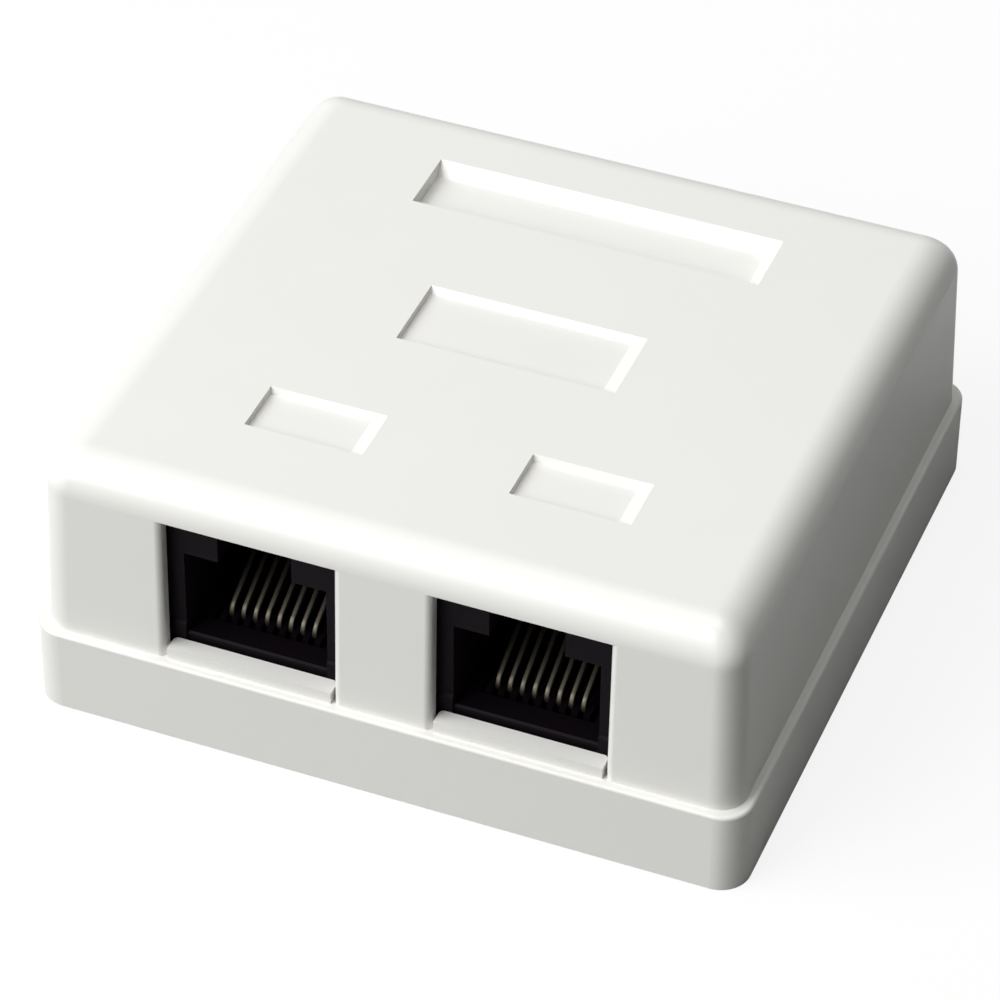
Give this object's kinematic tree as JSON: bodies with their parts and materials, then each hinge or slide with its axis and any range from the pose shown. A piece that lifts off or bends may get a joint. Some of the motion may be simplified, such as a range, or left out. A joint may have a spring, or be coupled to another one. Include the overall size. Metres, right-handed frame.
{
  "type": "surface mount jack box",
  "caption": "White surface mount box with two network plug sockets side by side and a cover that clips on, wired from the back or from the rear edge.",
  "frame": {"origin": "Centre of the footprint, on the back face of the base where the box lies on the wall.", "axes": "+X to the right of the two sockets as seen from the front, +Y away from the plugs towards the rear wall, +Z away from the wall through the top of the cover."},
  "size_m": [0.06, 0.0576, 0.0244],
  "materials": {
    "white_plastic": "satin moulded ABS",
    "black_plastic": "moulded black",
    "contact_gold": "gold flash over phosphor bronze",
    "board_green": "solder mask",
    "terminal_plastic": "moulded white",
    "clip_metal": "tinned bronze",
    "screw_steel": "zinc plated"
  },
  "bodies": {
    "tray": {"base": "white_plastic", "circuit_board": "board_green", "board_screws": "screw_steel", "left_jack_housing": "black_plastic", "left_contact_carrier": "black_plastic", "left_spring_contact_1": "contact_gold", "left_spring_contact_2": "contact_gold", "left_spring_contact_3": "contact_gold", "left_spring_contact_4": "contact_gold", "left_spring_contact_5": "contact_gold", "left_spring_contact_6": "contact_gold", "left_spring_contact_7": "contact_gold", "left_spring_contact_8": "contact_gold", "left_front_terminal_block": "terminal_plastic", "left_front_wire_clip_1": "clip_metal", "left_front_wire_clip_2": "clip_metal", "left_front_wire_clip_3": "clip_metal", "left_front_wire_clip_4": "clip_metal", "left_rear_terminal_block": "terminal_plastic", "left_rear_wire_clip_1": "clip_metal", "left_rear_wire_clip_2": "clip_metal", "left_rear_wire_clip_3": "clip_metal", "left_rear_wire_clip_4": "clip_metal", "right_jack_housing": "black_plastic", "right_contact_carrier": "black_plastic", "right_spring_contact_1": "contact_gold", "right_spring_contact_2": "contact_gold", "right_spring_contact_3": "contact_gold", "right_spring_contact_4": "contact_gold", "right_spring_contact_5": "contact_gold", "right_spring_contact_6": "contact_gold", "right_spring_contact_7": "contact_gold", "right_spring_contact_8": "contact_gold", "right_front_terminal_block": "terminal_plastic", "right_front_wire_clip_1": "clip_metal", "right_front_wire_clip_2": "clip_metal", "right_front_wire_clip_3": "clip_metal", "right_front_wire_clip_4": "clip_metal", "right_rear_terminal_block": "terminal_plastic", "right_rear_wire_clip_1": "clip_metal", "right_rear_wire_clip_2": "clip_metal", "right_rear_wire_clip_3": "clip_metal", "right_rear_wire_clip_4": "clip_metal"},
    "cover": {"cover": "white_plastic"}
  },
  "joints": [
    {"name": "cover_lift", "type": "slide", "parent": "tray", "child": "cover", "axis": [0, 0, 1], "range_m": [0, 0.03]}
  ]
}
